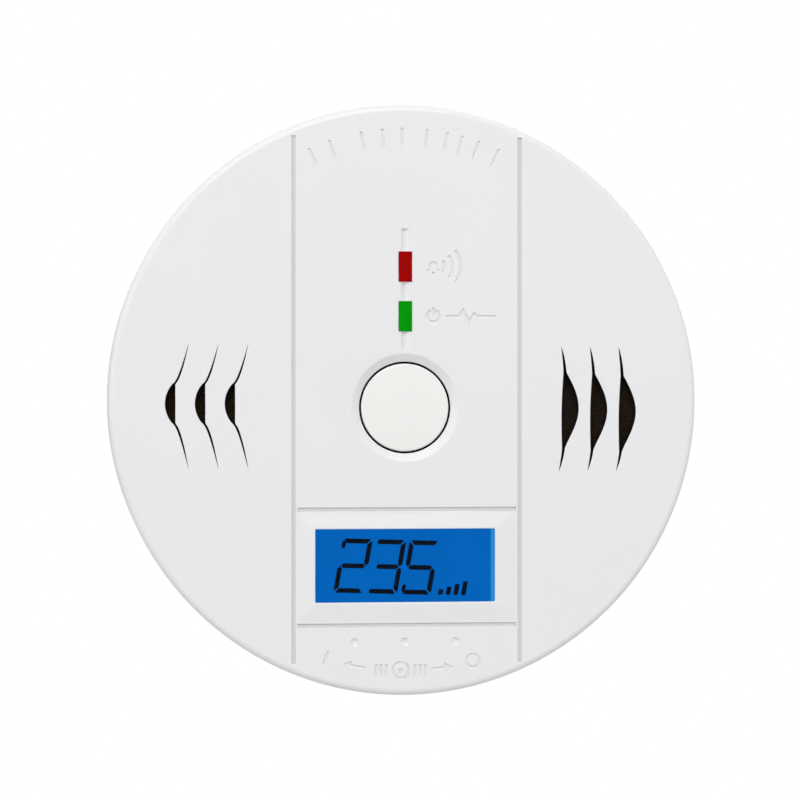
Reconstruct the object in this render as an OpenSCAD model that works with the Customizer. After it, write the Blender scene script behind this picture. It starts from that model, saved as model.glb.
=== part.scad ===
// Round wall-mounted carbon monoxide detector with a twist-on mounting bracket.
// Every part is drawn lying on its back, with its depth along Z, and then stood up on the wall:
// the wall is the XZ plane, the face looks along -Y, and Z is up.

/* [Body] */
// Largest diameter of the body
body_d = 103; // [102:0.5:104]
// Depth from the wall to the top of the display bezel
body_depth = 36.5; // [36.5:0.5:38.5]
// Wall thickness of the mouldings
wall = 2.2; // [2:0.1:2.3]
// Draft of the cover's side wall, in degrees
side_draft = 1; // [0.5:0.25:2]
// Radius of the edge between the face and the side
edge_r = 1.2; // [1:0.1:1.5]

/* [Face] */
// Distance between the two long grooves
strip_w = 39.4; // [38.8:0.1:39.6]
// Half length of the long grooves
groove_half = 45.6; // [44:0.2:45.6]
// Width of every straight groove
groove_w = 0.7; // [0.5:0.1:0.9]
// Depth of every straight groove
groove_depth = 0.4; // [0.3:0.1:0.9]
// Depth of the engraved marks
mark_depth = 0.35; // [0.2:0.05:0.5]
// Stroke width of the engraved marks
mark_w = 0.45; // [0.35:0.05:0.55]

/* [Vents] */
// Slits on each side of the face
vent_count = 3; // [2:1:3]
// Half height of a slit
vent_half = 10.9; // [10.4:0.1:11]
// Bulge of a left slit
left_bulge = 1.3; // [1:0.05:1.8]
// Bulge of a right slit
right_bulge = 2.8; // [2.2:0.05:3]

/* [Test button] */
// Diameter of the button
button_d = 15.3; // [15:0.1:15.4]
// Gap round the button
button_gap = 0.3; // [0.25:0.05:0.35]
// How far the button travels
button_travel = 0.8; // [0.4:0.1:0.8]

/* [Display] */
// Width of the display window
window_w = 31.3; // [29.3:0.5:31.8]
// Height of the display window
window_h = 12.7; // [11:0.1:13]
// How far the bezel stands above the face
bezel_rise = 0.7; // [0.6:0.1:1]

/* [Lights] */
// Width of an indicator light
light_w = 2.3; // [1.8:0.1:2.4]
// Height of an indicator light
light_h = 5.2; // [4.5:0.1:5.4]

/* [Power] */
// Diameter of a cell
cell_d = 14.5; // [14.1:0.1:14.5]
// Length of a cell with its nub
cell_l = 50.5; // [50:0.1:50.5]

/* [Bracket] */
// Diameter of the mounting bracket
bracket_d = 91.2; // [89:0.2:91.6]
// Distance between the middles of two opposite screw slots
screw_spacing = 60; // [58:0.5:62]
// Width of a screw slot
slot_w = 4.6; // [4:0.1:5]
// Length of a screw slot, end to end
slot_l = 10.6; // [9:0.1:11]

/* [Hidden] */
$fn = 64;
eps = 0.01;

// Levels, measured from the wall
face_z = body_depth - bezel_rise;
under_z = face_z - wall;
part_z = 17;
board_top = under_z - 7.1;
board_t = 1.6;
board_bottom = board_top - board_t;
bay_roof = board_bottom - 3.4;
bay_top = bay_roof - 1.6;
cell_z = bay_top - 0.2 - cell_d / 2;
back_z = 7;
back_t = 2;
skirt_z = 1.8;
plate_t = 2.2;

// Layout of the face, from its centre
body_r = body_d / 2;
draft_slope = tan(side_draft);
button_y = -1.3;
bore_r = button_d / 2 + button_gap;
dish_r = 9.35;
dish_depth = 0.9;
light_ys = [23.1, 14.5];
light_fit = 0.05;
light_foot = 0.65;
display_y = -28.65;
strip_shift = 0.33;
bezel_w = 37.9;
bezel_h = 18.9;
bezel_lip = 0.15;
window_t = 1.2;
window_sink = 0.45;
window_edge = 0.8;
window_fit = 0.1;
cross_groove_ys = [-18.95, -39.0];
cross_groove_gap = 0.32;
dimple_y = -41.9;
dimple_pitch = 8.8;

// Vents: the inner edge of the slit nearest the middle, and the step to the next
left_vent_at = [-29.6, -1.1];
left_vent_step = -5.12;
right_vent_at = [27.7, -1.6];
right_vent_step = 5.05;
vent_depth = wall + 2;
filter_t = 0.8;
filter_z = under_z - 0.05 - filter_t;

// Board and what it carries
board_r = 45.3;
cover_boss = [28.4, 31.6];
cover_boss_r = 3.1;
board_bosses = [[0, 40], [-34, -22], [34, -22]];
board_boss_r = 2.6;
buzzer_at = [33.5, -1.5];
buzzer_r = 11.8;
buzzer_top = filter_z - 0.15;
sensor_at = [-34.5, -1];
sensor_r = 7.1;
sensor_top = filter_z - 0.25;
coil_at = [33, 17];
capacitor_at = [-33, 17];
chip_at = [6, 10];

// Display stack
lcd_w = 35;
lcd_h = 16;
lcd_top = under_z - 0.3;
lcd_t = 2.2;
backlight_t = 2.8;
backlight_top = lcd_top - lcd_t - 0.1;
tray_floor = backlight_top - backlight_t;
pin_y = lcd_h / 2 + 0.5;
pin_count = 12;
pin_pitch = 2.54;

// Battery bay
cell_pitch = 14.9;
bay_w = 2 * cell_pitch + cell_d + 1.5;
bay_l = 56;
bay_wall = 1.5;
contact_t = 0.4;
nub_l = 1;
spring_wire_r = 0.4;
spring_turns = 3.5;
spring_gap = 0.06;

// Bayonet: three hooks on the bracket hold three lugs on the housing
bayonet_angles = [90, 210, 330];
hook_span = 14;
lug_span = 13;
stop_span = 1.8;
hook_r = [36, 37.8, 40.2];
lug_r = [38.4, 40.7, 42.5];
hook_z = [4.9, 6.4];
lug_z = [3.0, 4.6];

// A route is a list of [y, z] points, in the plane of its own x
lead_r = 0.65;
lead_x = cell_pitch;
lead_route = [
    [bay_l / 2 + 3.6, bay_top - 1.7], [bay_l / 2 + 4.4, bay_top - 1.6],
    [bay_l / 2 + 5.3, bay_top - 1.1], [bay_l / 2 + 5.9, bay_top - 0.2],
    [bay_l / 2 + 6.1, bay_top + 1.0], [bay_l / 2 + 6.1, bay_top + 2.5],
    [bay_l / 2 + 6.1, board_bottom]
];

// ---- Helpers ----

// Stands a part up on the wall
module on_wall() rotate([90, 0, 0]) children();

function arc_points(centre, r, from, to, n) =
    [for (i = [0:n]) let (a = from + (to - from) * i / n) centre + r * [cos(a), sin(a)]];

function reversed(list) = [for (i = [len(list) - 1:-1:0]) list[i]];

module block(size, at) translate([at.x - size.x / 2, at.y - size.y / 2, at.z]) cube(size);

module post(at, r, z0, z1) translate([at.x, at.y, z0]) cylinder(r = r, h = z1 - z0);

module ring(r0, r1, z0, z1) difference() {
    cylinder_between(r1, z0, z1);
    cylinder_between(r0, z0 - 1, z1 + 1);
}

module cylinder_between(r, z0, z1) translate([0, 0, z0]) cylinder(r = r, h = z1 - z0, $fn = 96);

// A piece of a ring, centred on an angle
module ring_sector(r0, r1, z0, z1, middle, span)
    rotate([0, 0, middle - span / 2])
        rotate_extrude(angle = span)
            translate([r0, z0]) square([r1 - r0, z1 - z0]);

module mirrored_corners(at)
    for (sx = [-1, 1], sy = [-1, 1]) translate([sx * at.x, sy * at.y, 0]) children();

// A bar with round ends from one point to another
module stroke(from, to, w) {
    d = to - from;
    translate(from) rotate(atan2(d.y, d.x)) translate([0, -w / 2]) square([norm(d), w]);
    translate(from) circle(d = w, $fn = 24);
    translate(to) circle(d = w, $fn = 24);
}

// Closed tube along points, with a vector across the path at each point
module swept_tube(points, across, r, sides) {
    n = len(points);
    function along(i) = points[min(i + 1, n - 1)] - points[max(i - 1, 0)];
    function unit(v) = v / norm(v);
    rings = [for (i = [0:n - 1], k = [0:sides - 1])
        let (u = unit(across[i]), v = unit(cross(along(i), across[i])), a = 360 * k / sides)
            points[i] + r * (cos(a) * u + sin(a) * v)];
    walls = [for (i = [0:n - 2], k = [0:sides - 1])
        let (next = (k + 1) % sides)
            [i * sides + k, (i + 1) * sides + k, (i + 1) * sides + next, i * sides + next]];
    first = [for (k = [0:sides - 1]) k];
    last = [for (k = [sides - 1:-1:0]) (n - 1) * sides + k];
    polyhedron(rings, concat(walls, [first, last]), convexity = 6);
}

// ---- Front cover ----

function side_r(z) = body_r - (z - part_z) * draft_slope;

// Outer outline of the cover in radius and height, with its rounded front edge
function cover_outline(inset, r) =
    let (top = face_z - inset, zc = top - r,
         rc = side_r(zc) - inset / cos(side_draft) - r / cos(side_draft))
    arc_points([rc, zc], r, side_draft, 90, 10);

module cover_shell() {
    rotate_extrude($fn = 96) polygon(concat(
        [[0, under_z], [0, face_z]],
        reversed(cover_outline(0, edge_r)),
        [[body_r, part_z], [body_r - wall, part_z]],
        cover_outline(wall, 1)
    ));
}

// Left slit: an arc in the middle, with a tail at each end that leans towards the centre line
left_arc_half = 3.45;
left_arc_y = 0.45;
left_slit = 0.42;
left_lean = 2.45;

function left_tail(y) =
    let (a = abs(y - left_arc_y), end = vent_half - sign(y - left_arc_y) * left_arc_y)
    a < left_arc_half ? 0 : left_lean * pow((a - left_arc_half) / (end - left_arc_half), 0.64);
function left_arc(y) =
    let (a = abs(y - left_arc_y), r = (pow(left_arc_half, 2) + pow(left_bulge, 2)) / (2 * left_bulge))
    a < left_arc_half ? left_bulge - r + sqrt(r * r - a * a) : 0;
function slit_width(y, w) = w * (1 - pow(y / vent_half, 2));

// Right slit: a bell-shaped opening beside a bowed edge, with a tail at each end.
// drop says how far the opening sits below the middle of the slit
right_bell_half = 6.6;
right_slit = 0.5;
right_bow = 0.2;
right_lean = 0.44;

function bell_share(y, drop) = abs(y + drop) / right_bell_half;
function right_edge(y, drop) =
    let (s = bell_share(y, drop), end = vent_half + sign(y + drop) * drop - right_bell_half)
    s < 1 ? -right_bow * cos(90 * s)
        : -right_lean * pow((abs(y + drop) - right_bell_half) / end, 1.3);
function right_bell(y, drop) = let (s = bell_share(y, drop))
    s < 1 ? right_bulge * pow(cos(90 * s), y + drop > 0 ? 0.8 : 1.15) : 0;

vent_steps = 16;
vent_ys = [for (i = [-vent_steps:vent_steps]) vent_half * i / vent_steps];
inner_vent_ys = [for (i = [1:2 * vent_steps - 1]) vent_ys[i]];

module left_slit_shape() polygon(concat(
    [for (y = vent_ys) [left_tail(y) + slit_width(y, left_slit) / 3, y]],
    [for (y = reversed(inner_vent_ys))
        [left_tail(y) - left_arc(y) - slit_width(y, left_slit) * 2 / 3, y]]
));

module right_slit_shape(drop) polygon(concat(
    [for (y = inner_vent_ys)
        [right_edge(y, drop) + right_bell(y, drop) + slit_width(y, right_slit), y]],
    [for (y = reversed(vent_ys)) [right_edge(y, drop), y]]
));

module vents() translate([0, 0, under_z - 1]) for (i = [0:vent_count - 1]) {
    translate([left_vent_at.x + i * left_vent_step, left_vent_at.y])
        linear_extrude(vent_depth) left_slit_shape();
    translate([right_vent_at.x + i * right_vent_step, right_vent_at.y])
        linear_extrude(vent_depth) right_slit_shape(0.3 * i);
}

module grooves() {
    z = face_z - groove_depth;
    for (side = [-1, 1])
        block([groove_w, 2 * groove_half, 3], [strip_shift + side * strip_w / 2, 0, z]);
    for (y = cross_groove_ys)
        block([strip_w - groove_w - 2 * cross_groove_gap, groove_w, 3], [strip_shift, y, z]);
}

// Half-round channel that joins the two lights to the button
light_channel_r = 0.65;
light_channel_ends = [button_y + 8.3, 29.6];
module light_channel()
    translate([0, light_channel_ends[0], face_z]) rotate([-90, 0, 0]) rotate([0, 0, -90])
        cylinder(r = light_channel_r, h = light_channel_ends[1] - light_channel_ends[0], $fn = 32);

// Trapezium across X, extruded along Y
module ridge(base, top, rise, length) rotate([90, 0, 0]) translate([0, 0, -length / 2])
    linear_extrude(length) polygon([
        [-base / 2, -1], [base / 2, -1], [base / 2, 0],
        [top / 2, rise], [-top / 2, rise], [-base / 2, 0]
    ]);

module bezel() translate([0, display_y, face_z]) intersection() {
    ridge(bezel_w, window_w + 2 * bezel_lip, bezel_rise, bezel_h);
    rotate([0, 0, 90]) ridge(bezel_h, window_h + 2 * bezel_lip, bezel_rise, bezel_w);
}

module display_opening() {
    block([window_w, window_h, 8], [0, display_y, under_z - 2]);
    edge = 2 * (window_edge + window_fit);
    block([window_w + edge, window_h + edge, wall + 2],
          [0, display_y, body_depth - window_sink - wall - 2]);
}

module button_dish() translate([0, button_y, 0]) rotate_extrude($fn = 96) polygon([
    [0, under_z - 5], [bore_r, under_z - 5], [bore_r, face_z - dish_depth], [dish_r, face_z],
    [dish_r, face_z + 1], [0, face_z + 1]
]);

module light_holes() for (y = light_ys)
    block([light_w + 2 * light_fit, light_h + 2 * light_fit, wall + 2], [0, y, under_z - 1]);

module dimples() for (i = [-1:1])
    translate([i * dimple_pitch, dimple_y, face_z + 0.5]) sphere(r = 0.9, $fn = 32);

// Engraved marks: ticks over the top, a bell and its sound, a power ring and a pulse,
// and on, twist and off signs under the display
tick_arc_r = 38.1;
tick_arc_y = 7.4;
tick_angles = [25, 19.5, 11.2, 5.8, 0.8, -5.6, -10.8, -14.6, -19, -24.4];
sign_arc_r = 45;
sign_arc_y = -1.9;
sign_angles = [-17.9, -11.1, -1, 7.75, 15.2];

module on_arc(y, r, angle) translate([0, y]) rotate(angle) translate([0, r]) children();

module bell() {
    translate([0, 0.2]) circle(r = 0.72, $fn = 32);
    translate([-0.72, -0.55]) square([1.44, 0.75]);
    stroke([-1.0, -0.65], [1.0, -0.65], 0.3);
    translate([0, -1.0]) circle(r = 0.26, $fn = 24);
}

module sound_arc(r) difference() {
    circle(r = r + mark_w / 2, $fn = 48);
    circle(r = r - mark_w / 2, $fn = 48);
    translate([-2 * r, -2 * r]) square([2 * r + r * cos(40), 4 * r]);
}

module open_ring(r, gap) difference() {
    circle(r = r + mark_w / 2, $fn = 48);
    circle(r = r - mark_w / 2, $fn = 48);
    if (gap > 0) translate([-gap / 2, 0]) square([gap, 2 * r]);
}

module pulse_line(points) for (i = [0:len(points) - 2])
    stroke(points[i], points[i + 1], mark_w * 0.85);

module arrow(length) {
    stroke([-length / 2, 0], [length / 2, 0], mark_w);
    polygon([[length / 2 + 0.55, 0], [length / 2 - 0.75, 0.75], [length / 2 - 0.75, -0.75]]);
}

// A round knob with a row of ribs on each side
module twist_grip() {
    open_ring(1.35, 0);
    circle(r = 0.4, $fn = 24);
    for (side = [-1, 1], i = [0:2])
        translate([side * (2.5 + 0.9 * i), 0]) stroke([0, -0.9], [0, 0.9], mark_w);
}

module marks() translate([0, 0, face_z - mark_depth]) linear_extrude(mark_depth + 1) {
    for (a = tick_angles) on_arc(tick_arc_y, tick_arc_r, a) stroke([0, -1.4], [0, 1.4], mark_w);
    translate([4.9, light_ys[0]]) bell();
    for (r = [1.6, 3.0, 4.4]) translate([5.3, light_ys[0]]) sound_arc(r);
    translate([4.9, light_ys[1]]) {
        open_ring(1.05, 0.9);
        stroke([0, 0.35], [0, 1.35], mark_w * 0.85);
    }
    translate([7.2, light_ys[1]]) pulse_line([
        [0, 0], [2.2, 0], [3.0, 1.1], [4.0, -1.1], [4.8, 0.5], [5.3, 0], [8.4, 0]
    ]);
    on_arc(sign_arc_y, -sign_arc_r, sign_angles[0]) stroke([0, -1.1], [0, 1.1], mark_w);
    on_arc(sign_arc_y, -sign_arc_r, sign_angles[1]) rotate(180) arrow(3.2);
    on_arc(sign_arc_y, -sign_arc_r, sign_angles[2]) twist_grip();
    on_arc(sign_arc_y, -sign_arc_r, sign_angles[3]) arrow(3.2);
    on_arc(sign_arc_y, -sign_arc_r, sign_angles[4]) open_ring(1.1, 0);
}

housing_screw_r = 1.25;
board_screw_r = 0.9;
thread_fit = 0.05;
boss_meet_z = 19;

module cover_bosses() {
    mirrored_corners(cover_boss) cylinder_between(cover_boss_r, boss_meet_z, under_z + 0.5);
    for (at = board_bosses) post(at, board_boss_r, board_top, under_z + 0.5);
    translate([0, button_y, 0]) cylinder_between(bore_r + 1.45, under_z - 3.2, under_z + 0.5);
}

module cover_pilots() {
    mirrored_corners(cover_boss)
        cylinder_between(housing_screw_r + thread_fit, boss_meet_z - 1, boss_meet_z + 9);
    for (at = board_bosses) post(at, board_screw_r + thread_fit, board_top - 1, board_top + 5.5);
}

module front_cover() color("white") on_wall() difference() {
    union() {
        cover_shell();
        cover_bosses();
        bezel();
    }
    vents();
    grooves();
    light_channel();
    display_opening();
    button_dish();
    light_holes();
    dimples();
    marks();
    cover_pilots();
}

// ---- Rear housing ----

skirt_t = 2;
spigot_r = body_r - wall - 0.3;
column_r = 4.2;
screw_ledge_z = 15;
shadow_gap = 0.4;

module housing_shell() rotate_extrude($fn = 96) polygon([
    [0, back_z], [body_r - 2.4 - skirt_t, back_z], [body_r - 2.4 - skirt_t, skirt_z],
    [body_r - 2.8, skirt_z], [body_r - 2.4, skirt_z + 0.4], [body_r - 0.3, part_z - shadow_gap],
    [body_r - 1, part_z - shadow_gap], [body_r - 1, part_z], [spigot_r, part_z],
    [spigot_r, part_z + 3], [spigot_r - 1.6, part_z + 3], [spigot_r - 1.6, part_z - 2],
    [body_r - 2.4 - skirt_t, back_z + back_t + 2],
    [body_r - 2.4 - skirt_t, back_z + back_t], [0, back_z + back_t]
]);

module bay_walls() block([bay_w + 2 * bay_wall, bay_l + 2 * bay_wall, bay_roof - back_z],
                         [0, 0, back_z]);

module bay_hollow() {
    block([bay_w, bay_l, bay_top - back_z + 1], [0, 0, back_z - 1]);
    for (side = [-1, 1])
        block([4, 8, 1], [-side * lead_x, side * bay_l / 2, bay_top - 2.2]);
}

module cell_ribs() for (side = [-1, 1])
    block([1.4, bay_l - 8, 3.2], [side * cell_pitch / 2, 0, bay_top - 3.1]);

module lugs() for (a = bayonet_angles) {
    ring_sector(lug_r[0], lug_r[2], lug_z[0], lug_z[1], a, lug_span);
    ring_sector(lug_r[1], lug_r[2], lug_z[1] - eps, back_z + 0.5, a, lug_span);
}

module rear_housing() color("whitesmoke") on_wall() {
    difference() {
        union() {
            housing_shell();
            bay_walls();
            mirrored_corners(cover_boss) cylinder_between(column_r, back_z + 0.5, boss_meet_z);
            lugs();
        }
        bay_hollow();
        mirrored_corners(cover_boss) {
            cylinder_between(3, back_z - 1, screw_ledge_z);
            cylinder_between(housing_screw_r + 0.25, screw_ledge_z - 1, boss_meet_z + 1);
        }
    }
    cell_ribs();
}

// ---- Mounting bracket ----

bracket_r = bracket_d / 2;
inner_window_r = [14, 20];
outer_window_r = [24, 32.5];
window_span = 52;
rim_t = 1.7;
bracket_rib_r = [5, 21.2, 33.2];
rib_t = 1.4;

module screw_slot() translate([screw_spacing / 2, 0, -1]) {
    for (side = [-1, 1]) translate([side * (slot_l - slot_w) / 2, 0, 0])
        cylinder(d = slot_w, h = plate_t + 4);
    block([slot_l - slot_w, slot_w, plate_t + 4], [0, 0, 0]);
}

// Each hook has a wall at the end that the lug stops against
module hooks() for (a = bayonet_angles) {
    middle = a - stop_span / 2;
    ring_sector(hook_r[0], hook_r[1], plate_t - 0.5, hook_z[0] + 0.5, middle, hook_span + stop_span);
    ring_sector(hook_r[0] - 0.1, hook_r[2], hook_z[0], hook_z[1], middle, hook_span + stop_span);
    ring_sector(hook_r[1] - 0.5, hook_r[2] - 0.2, plate_t - 0.5, hook_z[0] + 0.5,
                a - hook_span / 2 - stop_span / 2 + 0.1, stop_span - 0.2);
}

module mounting_bracket() color("gainsboro") on_wall() {
    difference() {
        union() {
            rotate_extrude($fn = 96) polygon([
                [0, 0], [bracket_r - 0.5, 0], [bracket_r, 0.5], [bracket_r, 4.6],
                [bracket_r - 0.4, 5], [bracket_r - rim_t, 5], [bracket_r - rim_t, plate_t],
                [0, plate_t]
            ]);
            for (r = bracket_rib_r) ring(r, r + rib_t, plate_t - 0.5, plate_t + 1);
        }
        for (a = [0, 90, 180, 270]) {
            rotate([0, 0, a]) screw_slot();
            ring_sector(inner_window_r[0], inner_window_r[1], -1, 4, a + 45, window_span);
            ring_sector(outer_window_r[0], outer_window_r[1], -1, 4, a + 45, window_span);
        }
        for (a = bayonet_angles)
            ring_sector(hook_r[1] + 0.2, hook_r[2] + 0.3, -1, plate_t + 1, a, hook_span - 0.4);
    }
    hooks();
}

// ---- Test button and its switch ----

cap_top = face_z - 0.6;
cap_plate = 1.5;
cap_skirt = 1.25;
flange_top = under_z - 3.3;
flange_t = 1.1;
switch_top = board_top + 3.5;
stem_bottom = switch_top + 2 * button_travel;
plunger_r = 1.75;
seal_fit = 0.06;
seal_z = [under_z - 0.6, face_z - dish_depth - 0.15];

module test_button() color("ivory") on_wall() translate([0, button_y, 0]) {
    r = button_d / 2;
    rotate_extrude($fn = 96) polygon(concat(
        [[0, cap_top - cap_plate], [0, cap_top]],
        reversed(arc_points([r - 0.5, cap_top - 0.5], 0.5, 0, 90, 6)),
        [[r, flange_top], [r + 1.25, flange_top], [r + 1.25, flange_top - flange_t],
         [r - cap_skirt, flange_top - flange_t], [r - cap_skirt, cap_top - cap_plate]]
    ));
    post([0, 0], 1.6, stem_bottom, cap_top - cap_plate + 0.2);
}

// Black ring that closes the gap round the button
module button_seal() color("black") on_wall() translate([0, button_y, 0])
    ring(button_d / 2 + seal_fit, bore_r, seal_z[0], seal_z[1]);

module test_switch_plunger() color("black") on_wall()
    post([0, button_y], plunger_r, stem_bottom - 2.3, stem_bottom);

module test_switch_body() color("dimgray") on_wall() difference() {
    union() {
        block([6, 6, 3.3], [0, button_y, board_top]);
        block([5.2, 5.2, 3.5], [0, button_y, board_top]);
        for (sx = [-1, 1], sy = [-1, 1])
            block([1.4, 0.7, 0.25], [sx * 3.5, button_y + sy * 2.25, board_top]);
    }
    post([0, button_y], plunger_r + 0.1, stem_bottom - 3.3, switch_top + 1);
}

// ---- Indicator lights ----

module light_guide(y) {
    block([light_w, light_h, face_z + 0.1 - under_z + 0.5], [0, y, under_z - 0.5]);
    block([light_w + 2 * light_foot, light_h + 2 * light_foot, 1.1], [0, y, under_z - 1.15]);
    block([light_w - 0.2, light_h - 0.5, 3], [0, y, board_top + 3.1]);
}

module alarm_light_guide() color("darkred") on_wall() light_guide(light_ys[0]);
module operate_light_guide() color("green") on_wall() light_guide(light_ys[1]);

module led(y) translate([0, y, board_top]) {
    cylinder(r = 1.8, h = 0.8);
    cylinder(r = 1.5, h = 1.5);
    translate([0, 0, 1.4]) sphere(r = 1.5);
}

module alarm_led() color("red") on_wall() intersection() {
    led(light_ys[0]);
    block([4, 4, 4], [0, light_ys[0], board_top]);
}
module operate_led() color("lime") on_wall() intersection() {
    led(light_ys[1]);
    block([4, 4, 4], [0, light_ys[1], board_top]);
}

// ---- Display ----

module display_window() color("lightblue", 0.4) on_wall()
    block([window_w + 2 * window_edge, window_h + 2 * window_edge, window_t],
          [0, display_y, body_depth - window_sink - window_t - 0.02]);

module lcd_glass() color("royalblue") on_wall()
    block([lcd_w, lcd_h, lcd_t], [0, display_y, lcd_top - lcd_t]);

module lcd_backlight() color("deepskyblue") on_wall()
    block([lcd_w - 0.6, lcd_h - 0.6, backlight_t], [0, display_y, tray_floor]);

module lcd_frame() color("white") on_wall() translate([0, display_y, 0]) difference() {
    block([lcd_w + 3.4, lcd_h + 3.8, lcd_top + 0.1 - board_top], [0, 0.3, board_top]);
    block([lcd_w + 0.4, lcd_h + 1.4, 10], [0, 0.5, tray_floor]);
    block([pin_count * pin_pitch, 0.8, 20], [0, pin_y, board_top - 1]);
}

module lcd_pins() color("silver") on_wall() for (i = [0:pin_count - 1])
    block([0.45, 0.3, lcd_top - 0.4 - board_top],
          [(i - (pin_count - 1) / 2) * pin_pitch, display_y + pin_y, board_top]);

// ---- Circuit board ----

sensor_pin_ring = 4.5;

module circuit_board() color("darkgreen") on_wall() difference() {
    cylinder_between(board_r, board_bottom, board_top);
    mirrored_corners(cover_boss) cylinder_between(cover_boss_r + 0.5, 0, 40);
    for (at = board_bosses) post(at, board_screw_r + 0.3, 0, 40);
    for (a = [90, 210, 330])
        post(sensor_at + sensor_pin_ring * [cos(a), sin(a)], 0.6, 0, 40);
}

module microcontroller() color("black") on_wall()
    block([7, 7, 1.3], [chip_at.x, chip_at.y, board_bottom - 1.45]);

module microcontroller_legs() color("silver") on_wall()
    for (turn = [0:3], i = [-3:3])
        translate([chip_at.x, chip_at.y, 0]) rotate([0, 0, 90 * turn])
            block([0.35, 0.9, 0.2], [i * 0.8, 4.0, board_bottom - 0.2]);

module coil_core() color("dimgray") on_wall() translate([coil_at.x, coil_at.y, 0]) {
    cylinder_between(4.5, board_bottom - 7, board_bottom - 5.8);
    cylinder_between(1.8, board_bottom - 6, board_bottom - 1);
    cylinder_between(4.5, board_bottom - 1.2, board_bottom);
}

module coil_winding() color("chocolate") on_wall() translate([coil_at.x, coil_at.y, 0])
    ring(1.85, 3.9, board_bottom - 5.75, board_bottom - 1.25);

module filter_capacitor() color("navy") on_wall()
    translate([capacitor_at.x, capacitor_at.y, 0]) rotate_extrude() polygon([
        [0, board_bottom - 9], [3.6, board_bottom - 9], [4, board_bottom - 8.6],
        [4, board_bottom - 1.8], [3.7, board_bottom - 1.5], [4, board_bottom - 1.2],
        [4, board_bottom], [0, board_bottom]
    ]);

module chip_components() color("tan") on_wall() {
    for (i = [0:3]) block([1.6, 0.8, 0.6], [-14 + 3 * i, 33, board_top]);
    for (i = [0:2]) block([0.8, 1.6, 0.6], [12 + 3 * i, 20, board_top]);
    for (i = [0:4]) block([1.6, 0.8, 0.6], [-12, 4 + 2.2 * i, board_bottom - 0.6]);
    for (i = [0:3]) block([1.6, 0.8, 0.6], [16, -6 - 2.2 * i, board_bottom - 0.6]);
    block([3, 2.6, 1.1], [-8, -10, board_bottom - 1.1]);
    block([3, 2.6, 1.1], [-2, -12, board_bottom - 1.1]);
}

// ---- Buzzer ----

piezo_z = board_top + 2.4;

module buzzer_housing() color("black") on_wall() translate([buzzer_at.x, buzzer_at.y, 0])
    rotate_extrude() polygon([
        [buzzer_r - 1.2, board_top], [buzzer_r, board_top], [buzzer_r, buzzer_top - 0.4],
        [buzzer_r - 0.4, buzzer_top], [4, buzzer_top], [4, buzzer_top - 1],
        [buzzer_r - 1.2, buzzer_top - 1], [buzzer_r - 1.2, piezo_z],
        [buzzer_r - 2.4, piezo_z - 0.05], [buzzer_r - 2.4, piezo_z - 0.8],
        [buzzer_r - 1.2, piezo_z - 1.6]
    ]);

module piezo_disc() color("goldenrod") on_wall() translate([buzzer_at.x, buzzer_at.y, 0])
    cylinder_between(buzzer_r - 1.35, piezo_z, piezo_z + 0.25);

module piezo_ceramic() color("ghostwhite") on_wall() translate([buzzer_at.x, buzzer_at.y, 0])
    cylinder_between(7, piezo_z + 0.25, piezo_z + 0.45);

// ---- Gas sensor ----

module co_sensor_base() color("black") on_wall() translate([sensor_at.x, sensor_at.y, 0])
    cylinder_between(sensor_r + 0.3, board_top, board_top + 1);

module co_sensor_can() color("silver") on_wall() translate([sensor_at.x, sensor_at.y, 0])
    difference() {
        rotate_extrude() polygon([
            [0, board_top + 1], [sensor_r, board_top + 1], [sensor_r, sensor_top - 0.5],
            [sensor_r - 0.5, sensor_top], [0, sensor_top]
        ]);
        cylinder_between(1.5, sensor_top - 1, sensor_top + 1);
    }

module co_sensor_pins() color("gold") on_wall() for (a = [90, 210, 330])
    post(sensor_at + sensor_pin_ring * [cos(a), sin(a)], 0.45, board_bottom - 1, board_top);

// ---- Dust filters behind the vents ----

filter_h = 24;
module dust_filter(from, to, y)
    block([to - from, filter_h, filter_t], [(from + to) / 2, y, filter_z]);

module left_dust_filter() color("saddlebrown") on_wall() dust_filter(-43, -25.8, -1);
module right_dust_filter() color("saddlebrown") on_wall() dust_filter(25.8, 41.8, -1.5);

// ---- Cells and their contacts ----

// way is 1 where the nub points up the wall and -1 where it points down
module cell(x, way) translate([x, 0, cell_z]) rotate([-90 * way, 0, 0]) {
    top = bay_l / 2 - contact_t - 0.05;
    rotate_extrude() polygon([
        [0, top - cell_l], [cell_d / 2 - 1.2, top - cell_l], [cell_d / 2 - 0.8, top - cell_l + 0.3],
        [cell_d / 2 - 0.4, top - cell_l + 0.3], [cell_d / 2, top - cell_l + 0.7],
        [cell_d / 2, top - nub_l - 0.4], [cell_d / 2 - 0.4, top - nub_l],
        [2.75, top - nub_l], [2.75, top - 0.3], [2.45, top], [0, top]
    ]);
}

module aa_cell_left() color("slategray") on_wall() cell(-cell_pitch, 1);
module aa_cell_middle() color("slategray") on_wall() cell(0, -1);
module aa_cell_right() color("slategray") on_wall() cell(cell_pitch, 1);

// way is 1 at the upper end of the bay and -1 at the lower end
module contact_plate(x0, x1, way)
    block([x1 - x0, contact_t, 9], [(x0 + x1) / 2, way * (bay_l - contact_t) / 2, cell_z - 4]);

module contact_tab(x, way)
    block([3, 3.6 + contact_t, 0.4], [x, way * (bay_l / 2 + 1.8 - contact_t / 2), bay_top - 1.9]);

module contact_riser(x, way)
    block([3, contact_t, bay_top - 1.5 - cell_z - 4.9],
          [x, way * (bay_l - contact_t) / 2, cell_z + 4.9]);

module terminal_contact(x, way) {
    contact_plate(x - 5, x + 5, way);
    contact_riser(x, way);
    contact_tab(x, way);
}

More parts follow.
